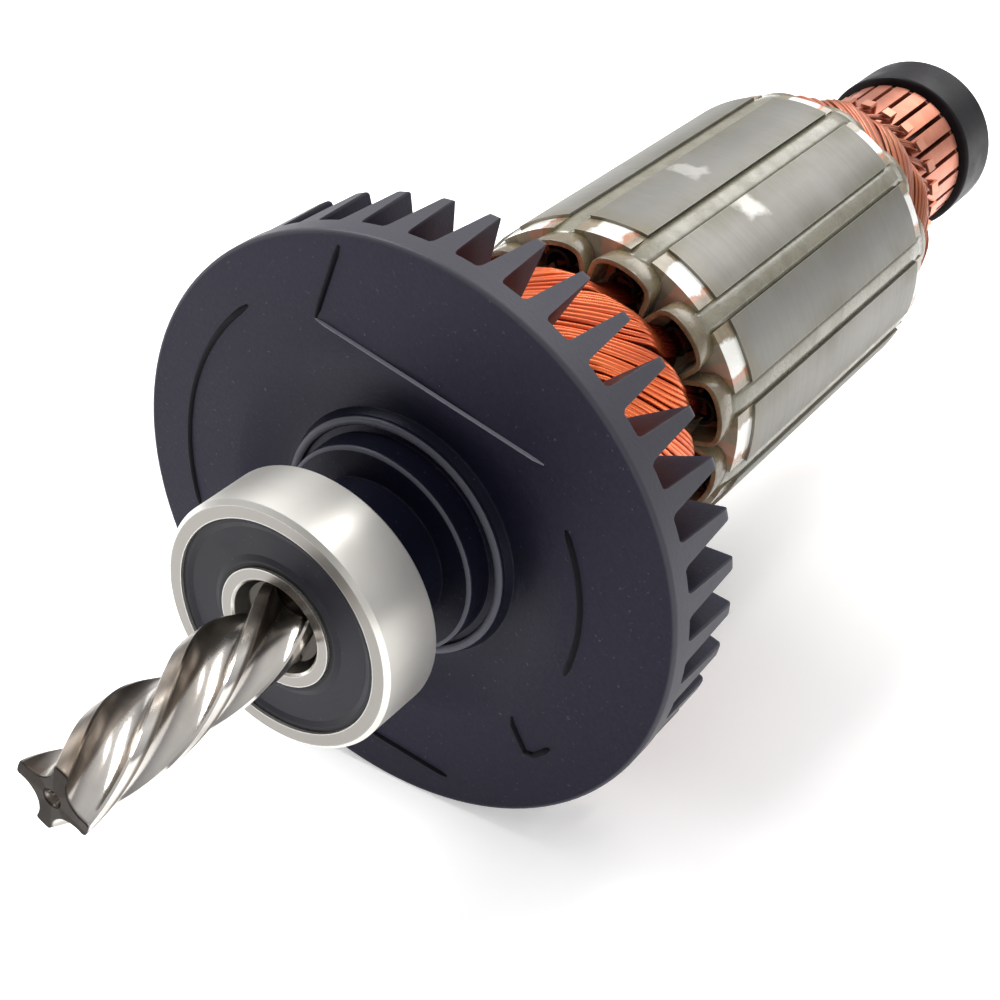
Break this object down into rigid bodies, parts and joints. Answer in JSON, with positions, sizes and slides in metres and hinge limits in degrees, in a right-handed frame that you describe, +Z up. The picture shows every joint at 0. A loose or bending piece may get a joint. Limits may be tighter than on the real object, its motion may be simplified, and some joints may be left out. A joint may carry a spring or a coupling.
{
  "type": "motor armature",
  "caption": "Wound motor armature: helical pinion shaft, sealed ball bearings, bladed cooling fan, slotted steel stack, copper end windings and a commutator.",
  "frame": {"origin": "on the shaft's axis, in the middle of the front bearing's outer surface", "axes": "+Y runs along the shaft from the pinion to the commutator, +Z is up and +X is to the right as seen from the pinion"},
  "size_m": [0.0584, 0.1571, 0.0584],
  "materials": {
    "shaft_steel": "ground and polished steel",
    "bearing_steel": "polished bearing steel",
    "ball_steel": "mirror-polished steel",
    "seal_rubber": "smooth black rubber",
    "cage_plastic": "natural nylon",
    "fan_plastic": "glass-filled nylon, dark blue-black",
    "insulator_plastic": "white moulded insulator, varnished",
    "stack_steel": "ground silicon steel sheets with traces of varnish",
    "tube_plastic": "moulded insulating tube",
    "liner_paper": "varnished insulating paper",
    "wedge_paper": "varnished pressboard",
    "enamelled_copper": "orange-red enamelled copper wire",
    "rear_winding_copper": "enamelled copper wire under brown varnish",
    "bar_copper": "turned copper",
    "hub_resin": "moulded phenolic resin",
    "sleeve_rubber": "soft black rubber"
  },
  "bodies": {
    "front_bearing_ring": {"front_bearing_outer_ring": "bearing_steel", "front_bearing_front_seal": "seal_rubber", "front_bearing_rear_seal": "seal_rubber"},
    "armature": {"shaft": "shaft_steel", "front_bearing_inner_ring": "bearing_steel", "cooling_fan": "fan_plastic", "front_end_insulator": "insulator_plastic", "lamination_stack": "stack_steel", "rear_end_insulator": "insulator_plastic", "shaft_insulation_tube": "tube_plastic", "slot_liners": "liner_paper", "slot_wedges": "wedge_paper", "coil_sides": "enamelled_copper", "front_end_winding": "enamelled_copper", "rear_end_winding": "rear_winding_copper", "commutator_leads": "rear_winding_copper", "commutator_bars": "bar_copper", "commutator_hub": "hub_resin", "rear_bearing_inner_ring": "bearing_steel"},
    "front_ball_set": {"front_bearing_balls": "ball_steel", "front_bearing_cage": "cage_plastic"},
    "rear_bearing_ring": {"rear_bearing_outer_ring": "bearing_steel", "rear_bearing_front_seal": "seal_rubber", "rear_bearing_rear_seal": "seal_rubber", "rear_bearing_sleeve": "sleeve_rubber"},
    "rear_ball_set": {"rear_bearing_balls": "ball_steel", "rear_bearing_cage": "cage_plastic"}
  },
  "joints": [
    {"name": "armature_spin", "type": "hinge", "parent": "front_bearing_ring", "child": "armature", "pos_m": [0, 0, 0], "axis": [0, 1, 0], "continuous": true},
    {"name": "front_cage_spin", "type": "hinge", "parent": "front_bearing_ring", "child": "front_ball_set", "pos_m": [0, 0, 0], "axis": [0, 1, 0], "continuous": true},
    {"name": "rear_ring_spin", "type": "hinge", "parent": "armature", "child": "rear_bearing_ring", "pos_m": [0, 0.125, 0], "axis": [0, 1, 0], "continuous": true},
    {"name": "rear_cage_spin", "type": "hinge", "parent": "armature", "child": "rear_ball_set", "pos_m": [0, 0.125, 0], "axis": [0, 1, 0], "continuous": true}
  ],
  "couplings": [
    {"joint": "front_cage_spin", "follows": "armature_spin", "ratio": 0.37547},
    {"joint": "rear_cage_spin", "follows": "rear_ring_spin", "ratio": 0.63264}
  ]
}
